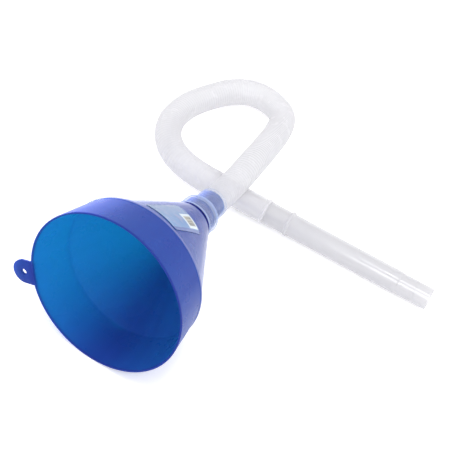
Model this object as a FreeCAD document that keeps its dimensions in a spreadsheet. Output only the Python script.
"""Fuel funnel, 160 mm, with a push-on flexible spout, lying on its side.

The bowl rests on its tapered band, with its axis in the row's XZ plane and its neck towards +X.
The hose leaves the neck, crosses over the nozzle's cuff, makes one loop on the table and ends
in that cuff. Lengths are millimetres, +Z is up, and Z = 0 is the table.
"""
import FreeCAD, Part
import math
import os

import Sketcher

V = FreeCAD.Vector

# Driving dimensions. Names that end in "at" are places along the funnel's axis, counted from
# the mouth, and those that end in "from" are places along the nozzle's axis, counted from the
# end of the hose. Angles are in degrees.
DIMENSIONS = {
    "rim_radius": 80.0,
    "band_radius": 72.8,
    "band_length": 44.8,
    "wall": 1.8,
    "cone_wall_across": 2.0,
    "edge_round": 0.6,
    "corner_round": 2.0,
    "chamfer": 0.5,
    "step_slope": 1.0,
    "seat_gap": 0.3,
    "shoulder_radius": 23.8,
    "shoulder_inset": 1.1,
    "shoulder_at": 141.4,
    "spigot_radius": 18.4,
    "spigot_step_at": 166.0,
    "spigot_nose_radius": 14.4,
    "spigot_nose_bore": 12.6,
    "spigot_end_at": 189.0,
    "tab_angle": 70.0,
    "tab_reach": 89.0,
    "tab_half_width": 12.0,
    "tab_thickness": 2.5,
    "tab_hole_radius": 3.0,
    "label_width": 37.0,
    "label_depth": 60.0,
    "label_thickness": 0.25,
    "label_at": 78.5,
    "label_angle": 192.9,
    "label_turn": -11.8,
    "strainer_at": 118.0,
    "strainer_end_at": 124.0,
    "strainer_mouth_radius": 33.3,
    "strainer_neck_radius": 30.2,
    "strainer_bore": 27.5,
    "gauze_at": 120.5,
    "gauze_thickness": 0.5,
    "bar_half_width": 1.0,
    "bar_depth": 1.6,
    "bar_root": 1.0,
    "cuff_at": 145.0,
    "cuff_lip_radius": 22.3,
    "cuff_lip_length": 3.0,
    "cuff_lip_fillet": 0.8,
    "cuff_radius": 20.6,
    "cuff_clearance": 0.08,
    "bead_radius": 21.0,
    "bead_at": 161.5,
    "bead_length": 3.5,
    "sleeve_at": 170.0,
    "sleeve_radius": 16.0,
    "sleeve_end_at": 191.0,
    "hose_radius": 15.0,
    "hose_bore": 13.6,
    "hose_lead": 34.0,
    "nozzle_heading": 3.3,
    "nozzle_droop": 0.748,
    "joint_mouth_radius": 15.0,
    "joint_mouth_length": 3.0,
    "joint_neck_from": 16.0,
    "joint_radius": 12.8,
    "joint_bore": 11.4,
    "joint_lip_radius": 13.9,
    "joint_lip_from": 64.0,
    "joint_end_from": 67.5,
    "insert_from": 30.0,
    "insert_clearance": 0.05,
    "nozzle_radius": 12.2,
    "nozzle_bore": 10.2,
    "stop_ring_radius": 13.7,
    "stop_ring_from": 92.5,
    "stop_ring_length": 3.5,
    "tip_from": 223.5,
    "tip_radius": 11.6,
    "tip_end_from": 260.0,
}

# Where the rim's centre and the hose's far end stand on the table.
RIM_CENTRE_X = -89.2
RIM_CENTRE_Y = -7.8
HOSE_END = V(155.5, 21, 15)

# The hose's route between its straight leads: over the nozzle's cuff, down to the table,
# round the tight far bend, and back.
HOSE_ROUTE = [
    V(179, -7, 46.8),
    V(229, -1, 36),
    V(271, 6, 26),
    V(301, 16, 19),
    V(317.5, 36.5, 15),
    V(319.5, 64, 15),
    V(303, 87, 15),
    V(274, 103, 15),
    V(242, 114, 15),
    V(206, 114, 15),
    V(172, 94, 15),
]

doc = FreeCAD.newDocument("Funnel")
sheet = doc.addObject("Spreadsheet::Sheet", "Dimensions")
for row, (alias, value) in enumerate(DIMENSIONS.items(), start=1):
    sheet.set(f"A{row}", alias)
    sheet.set(f"B{row}", str(value))
    sheet.setAlias(f"B{row}", alias)
doc.recompute()


def size(alias):
    """A driving dimension, read from the spreadsheet."""
    return float(getattr(sheet, alias))


def amount(text):
    """The value of a sum of dimensions and numbers, such as "shoulder_at - wall"."""
    total = 0.0
    sign = 1.0
    for word in text.split():
        if word in ("+", "-"):
            sign = 1.0 if word == "+" else -1.0
        else:
            total += sign * (size(word) if word in DIMENSIONS else float(word))
    return total


def formula(text):
    """The same sum as an expression that the document keeps bound to the spreadsheet."""
    return " ".join(f"Dimensions.{word}" if word in DIMENSIONS else word for word in text.split())


def new_sketch(body, name, role):
    """A sketch that lies on one of the body's own base planes."""
    plane = next(item for item in body.Origin.OriginFeatures if item.Role == role)
    sketch = body.newObject("Sketcher::SketchObject", name)
    sketch.AttachmentSupport = [(plane, "")]
    sketch.MapMode = "FlatFace"
    return sketch


def hold(sketch, kind, parts, text):
    """Adds one driving constraint and binds it to a sum of dimensions."""
    index = sketch.addConstraint(Sketcher.Constraint(kind, *parts, amount(text)))
    sketch.setExpression(f"Constraints[{index}]", formula(text))


def draw_outline(sketch, corners):
    """A closed outline of straight sides, with each corner held at a (radius, height) pair."""
    points = [V(amount(radius), amount(height), 0) for radius, height in corners]
    following = [(index + 1) % len(points) for index in range(len(points))]
    for index, after in enumerate(following):
        sketch.addGeometry(Part.LineSegment(points[index], points[after]), False)
    for index, after in enumerate(following):
        sketch.addConstraint(Sketcher.Constraint("Coincident", index, 2, after, 1))
    for index, (radius, height) in enumerate(corners):
        hold(sketch, "DistanceX", (-1, 1, index, 1), radius)
        if amount(height) == 0:
            sketch.addConstraint(Sketcher.Constraint("PointOnObject", index, 1, -1))
        else:
            hold(sketch, "DistanceY", (-1, 1, index, 1), height)


def turned_body(label, corners):
    """A body turned about its own Z axis from an outline of (radius, height) corners."""
    body = doc.addObject("PartDesign::Body", label)
    sketch = new_sketch(body, label + "_outline", "XZ_Plane")
    draw_outline(sketch, corners)
    turned = body.newObject("PartDesign::Revolution", label + "_turned")
    turned.Profile = sketch
    turned.ReferenceAxis = (sketch, ["V_Axis"])
    turned.Angle = 360.0
    body.Tip = turned
    doc.recompute()
    return body


def round_rings(body, name, radius, rings):
    """Rounds the circular edges that lie at the given (radius, height) pairs."""
    wanted = [(amount(across), amount(height)) for across, height in rings]
    names = []
    for index, edge in enumerate(body.Shape.Edges, start=1):
        curve = edge.Curve
        if isinstance(curve, Part.Circle):
            place = (curve.Radius, curve.Center.z)
            if any(math.dist(place, target) < 0.01 for target in wanted):
                names.append(f"Edge{index}")
    base = body.Tip
    rounding = body.newObject("PartDesign::Fillet", name)
    rounding.Base = (base, names)
    rounding.setExpression("Radius", formula(radius))
    body.Tip = rounding
    doc.recompute()


def stand(piece, base, direction):
    """Places a piece made along its own Z axis on a line in the row's frame."""
    piece.Placement = FreeCAD.Placement(base, FreeCAD.Rotation(V(0, 0, 1), direction))
    return piece


def make_funnel_bowl():
    """The one-piece moulding: tapered band, cone, stepped spigot and hanging tab."""
    body = turned_body("funnel_bowl", [
        ("rim_radius", "0"),
        ("band_radius", "band_length"),
        ("shoulder_radius", "shoulder_at"),
        ("spigot_radius", "shoulder_at"),
        ("spigot_radius", "spigot_step_at"),
        ("spigot_nose_radius", "spigot_step_at + step_slope"),
        ("spigot_nose_radius", "spigot_end_at"),
        ("spigot_nose_bore", "spigot_end_at"),
        ("spigot_nose_bore", "spigot_step_at"),
        ("spigot_radius - wall", "spigot_step_at - wall"),
        ("spigot_radius - wall", "shoulder_at - wall"),
        ("shoulder_radius - shoulder_inset", "shoulder_at - wall"),
        ("band_radius - cone_wall_across", "band_length"),
        ("rim_radius - wall", "0"),
    ])
    round_rings(body, "band_corner", "corner_round", [("band_radius", "band_length")])
    round_rings(body, "spigot_nose", "edge_round", [("spigot_nose_radius", "spigot_end_at")])
    add_tab(body)
    return body


def add_tab(body):
    """The hanging tab in the plane of the rim, with its hole, drawn pointing along X and turned."""
    root = size("rim_radius") - size("wall")
    reach = size("tab_reach")
    half = size("tab_half_width")
    corners = [V(reach, half, 0), V(root, half, 0), V(root, -half, 0), V(reach, -half, 0)]
    sketch = new_sketch(body, "tab_outline", "XY_Plane")
    sketch.setExpression("AttachmentOffset.Rotation.Angle", formula("tab_angle"))
    for start, end in zip(corners, corners[1:]):
        sketch.addGeometry(Part.LineSegment(start, end), False)
    sketch.addGeometry(Part.Arc(corners[-1], V(reach + half, 0, 0), corners[0]), False)
    sketch.addGeometry(Part.Circle(V(reach, 0, 0), V(0, 0, 1), size("tab_hole_radius")), False)
    side, root_line, far_side, tip, hole = range(5)
    for kind, *parts in (
        ("Coincident", side, 2, root_line, 1),
        ("Coincident", root_line, 2, far_side, 1),
        ("Tangent", far_side, 2, tip, 1),
        ("Tangent", tip, 2, side, 1),
        ("Coincident", hole, 3, tip, 3),
        ("PointOnObject", tip, 3, -1),
        ("Horizontal", side),
        ("Vertical", root_line),
        ("Horizontal", far_side),
    ):
        sketch.addConstraint(Sketcher.Constraint(kind, *parts))
    hold(sketch, "DistanceX", (-1, 1, root_line, 1), "rim_radius - wall")
    hold(sketch, "DistanceX", (-1, 1, tip, 3), "tab_reach")
    hold(sketch, "Radius", (tip,), "tab_half_width")
    hold(sketch, "Radius", (hole,), "tab_hole_radius")
    pad = body.newObject("PartDesign::Pad", "tab")
    pad.Profile = sketch
    pad.setExpression("Length", formula("tab_thickness"))
    body.Tip = pad
    doc.recompute()


def make_label():
    """The sticker: the part of a thin shell on the cone that lies inside a turned box."""
    shells = []
    for name, skin in (("label_inside", "0"), ("label_outside", "label_thickness")):
        cone = doc.addObject("Part::Cone", name)
        cone.setExpression("Radius1", formula(f"band_radius + {skin}"))
        cone.setExpression("Radius2", formula(f"shoulder_radius + {skin}"))
        cone.setExpression("Height", formula("shoulder_at - band_length"))
        cone.setExpression("Placement.Base.z", formula("band_length"))
        shells.append(cone)
    shell = doc.addObject("Part::Cut", "label_shell")
    shell.Base = shells[1]
    shell.Tool = shells[0]

    fall = (size("band_radius") - size("shoulder_radius")) / (size("shoulder_at") - size("band_length"))
    lean = math.degrees(math.atan(fall))
    radius = size("band_radius") - fall * (size("label_at") - size("band_length"))
    depth = size("label_width") / 2
    outline = doc.addObject("Part::Box", "label_outline")
    outline.setExpression("Length", formula("label_depth"))
    outline.setExpression("Width", formula("label_width"))
    outline.setExpression("Height", formula("label_width"))
    centring = FreeCAD.Placement(V(-size("label_depth") / 2, -depth, -depth), FreeCAD.Rotation())
    turning = FreeCAD.Rotation(V(0, 0, 1), size("label_turn"))
    leaning = FreeCAD.Rotation(V(0, 1, 0), 90 - lean)
    around = FreeCAD.Rotation(V(0, 0, 1), size("label_angle"))
    place = around.multVec(V(radius, 0, size("label_at")))
    outline.Placement = FreeCAD.Placement(place, around * leaning * turning) * centring

    label = doc.addObject("Part::Common", "label")
    label.Base = shell
    label.Tool = outline
    return label


def make_strainer_frame():
    """The lift-out strainer's tapered ring, with two crossed bars under the gauze."""
    body = turned_body("strainer_frame", [
        ("strainer_mouth_radius", "strainer_at"),
        ("strainer_neck_radius", "strainer_end_at"),
        ("strainer_bore", "strainer_end_at"),
        ("strainer_bore", "strainer_at"),
    ])
    far, near = "strainer_bore + bar_root", "- strainer_bore - bar_root"
    left, right = "bar_half_width", "- bar_half_width"
    bar = [(far, left), (near, left), (near, right), (far, right)]
    crossing = [(side, end) for end, side in bar]
    for name, corners in (("bar", bar), ("crossing_bar", crossing)):
        sketch = new_sketch(body, name + "_outline", "XY_Plane")
        sketch.setExpression("AttachmentOffset.Base.z", formula("gauze_at + gauze_thickness"))
        draw_outline(sketch, corners)
        pad = body.newObject("PartDesign::Pad", name)
        pad.Profile = sketch
        pad.setExpression("Length", formula("bar_depth"))
        body.Tip = pad
    doc.recompute()
    return body


def make_strainer_gauze():
    """A plain disc that stands for the woven gauze."""
    gauze = doc.addObject("Part::Cylinder", "strainer_gauze_disc")
    gauze.setExpression("Radius", formula("strainer_bore"))
    gauze.setExpression("Height", formula("gauze_thickness"))
    gauze.setExpression("Placement.Base.z", formula("gauze_at"))
    disc = doc.addObject("Part::Compound", "strainer_gauze")
    disc.Links = [gauze]
    return disc


def make_neck_cuff():
    """The collar that pushes over the spigot, with its lip, its bead and the hose's sleeve."""
    bore = "spigot_radius + cuff_clearance"
    sleeve_bore = "spigot_nose_radius + cuff_clearance"
    return turned_body("neck_cuff", [
        ("cuff_lip_radius", "cuff_at"),
        ("cuff_lip_radius", "cuff_at + cuff_lip_length"),
        ("cuff_radius + cuff_lip_fillet", "cuff_at + cuff_lip_length + cuff_lip_fillet"),
        ("cuff_radius", "bead_at - chamfer"),
        ("bead_radius", "bead_at"),
        ("bead_radius", "bead_at + bead_length"),
        ("sleeve_radius", "sleeve_at"),
        ("sleeve_radius", "sleeve_end_at"),
        ("hose_bore", "sleeve_end_at"),
        ("hose_bore", "spigot_end_at + chamfer"),
        (sleeve_bore, "spigot_end_at + chamfer"),
        (sleeve_bore, "spigot_step_at + step_slope + seat_gap"),
        (bore, "spigot_step_at + seat_gap"),
        (bore, "cuff_at"),
    ])


def make_nozzle_cuff():
    """The cuff on the far end of the hose, which the nozzle pushes into."""
    return turned_body("nozzle_cuff", [
        ("joint_mouth_radius", "0"),
        ("joint_mouth_radius", "joint_mouth_length"),
        ("joint_radius", "joint_neck_from"),
        ("joint_radius", "joint_lip_from"),
        ("joint_lip_radius", "joint_lip_from + chamfer"),
        ("joint_lip_radius", "joint_end_from"),
        ("joint_bore", "joint_end_from"),
        ("joint_bore", "joint_neck_from"),
        ("hose_bore", "joint_mouth_length"),
        ("hose_bore", "0"),
    ])


def make_nozzle_tube():
    """The stiff straight tube: plain insert, stop ring and stepped, square-cut tip."""
    insert = "joint_bore - insert_clearance"
    return turned_body("nozzle_tube", [
        (insert, "insert_from"),
        (insert, "joint_end_from + seat_gap"),
        ("nozzle_radius", "joint_end_from + seat_gap"),
        ("nozzle_radius", "stop_ring_from"),
        ("stop_ring_radius", "stop_ring_from + chamfer"),
        ("stop_ring_radius", "stop_ring_from + stop_ring_length"),
        ("nozzle_radius", "stop_ring_from + stop_ring_length + chamfer"),
        ("nozzle_radius", "tip_from"),
        ("tip_radius", "tip_from + step_slope"),
        ("tip_radius", "tip_end_from"),
        ("nozzle_bore", "tip_end_from"),
        ("nozzle_bore", "insert_from"),
    ])


def hose_edges(points):
    """Straight runs joined by tangent arcs, each as large as its two runs allow."""
    edges = []
    reached = points[0]
    for before, corner, after in zip(points, points[1:], points[2:]):
        arriving = (corner - before).normalize()
        leaving = (after - corner).normalize()
        half_turn = arriving.getAngle(leaving) / 2
        setback = 0.45 * min((corner - before).Length, (after - corner).Length)
        radius = setback / math.tan(half_turn)
        print(f"hose bend: turn {math.degrees(2 * half_turn):.0f} degrees, radius {radius:.0f} mm")
        start = corner - arriving * setback
        end = corner + leaving * setback
        inward = (leaving - arriving).normalize()
        middle = corner + inward * (radius / math.cos(half_turn) - radius)
        edges.append(Part.LineSegment(reached, start).toShape())
        edges.append(Part.Arc(start, middle, end).toShape())
        reached = end
    edges.append(Part.LineSegment(reached, points[-1]).toShape())
    return edges


def swept_rod(path, radius):
    """A round solid along the path."""
    start = path.Edges[0]
    heading = start.tangentAt(start.FirstParameter)
    section = Part.Wire(Part.makeCircle(radius, start.valueAt(start.FirstParameter), heading))
    return path.makePipeShell([section], True, False)


def make_spout_hose(hose_start, neck_axis, nozzle_axis):
    """The free hose: a plain tube with the ribbed hose's outside and inside diameters."""
    lead = size("hose_lead")
    points = [hose_start, hose_start + neck_axis * lead]
    points += HOSE_ROUTE
    points += [HOSE_END - nozzle_axis * lead, HOSE_END]
    path = Part.Wire(hose_edges(points))
    outside = swept_rod(path, size("hose_radius"))
    inside = swept_rod(path, size("hose_bore"))
    hose = doc.addObject("Part::Feature", "spout_hose")
    hose.Shape = outside.cut(inside)
    section = math.pi * (size("hose_radius") ** 2 - size("hose_bore") ** 2)
    print(f"hose length {path.Length:.0f} mm, volume over section times length "
          f"{hose.Shape.Volume / (section * path.Length):.3f}")
    return hose


def check_document(pieces):
    """Stops if any object failed to recompute or any piece has no sound solid."""
    for item in doc.Objects:
        if "Invalid" in item.State or "Error" in item.State:
            raise RuntimeError(f"{item.Name} failed: {item.State}")
    for piece in pieces:
        shape = piece.Shape
        if shape.isNull() or not shape.isValid() or not shape.Solids:
            raise RuntimeError(f"{piece.Label} has no sound solid")


def main():
    taper = math.atan((size("rim_radius") - size("band_radius")) / size("band_length"))
    neck_axis = V(math.cos(taper), 0, -math.sin(taper))
    rim_centre = V(RIM_CENTRE_X, RIM_CENTRE_Y, size("rim_radius") * math.cos(taper))
    heading = math.radians(size("nozzle_heading"))
    droop = math.radians(size("nozzle_droop"))
    level = V(math.sin(heading), -math.cos(heading), 0)
    nozzle_axis = level * math.cos(droop) - V(0, 0, math.sin(droop))
    hose_start = rim_centre + neck_axis * size("sleeve_end_at")

    on_neck = [make_funnel_bowl(), make_label(), make_neck_cuff()]
    on_neck += [make_strainer_frame(), make_strainer_gauze()]
    on_nozzle = [make_nozzle_cuff(), make_nozzle_tube()]
    for piece in on_neck:
        stand(piece, rim_centre, neck_axis)
    for piece in on_nozzle:
        stand(piece, HOSE_END, nozzle_axis)
    pieces = on_neck + on_nozzle + [make_spout_hose(hose_start, neck_axis, nozzle_axis)]
    doc.recompute()
    check_document(pieces)
    os.makedirs("parts", exist_ok=True)
    for piece in pieces:
        piece.Shape.exportStep(f"parts/{piece.Label}.step")
        box = piece.Shape.BoundBox
        print(f"{piece.Label}: {len(piece.Shape.Solids)} solid, volume {piece.Shape.Volume:.0f} mm3, "
              f"x {box.XMin:.1f} to {box.XMax:.1f}, y {box.YMin:.1f} to {box.YMax:.1f}, "
              f"z {box.ZMin:.1f} to {box.ZMax:.1f}")


main()
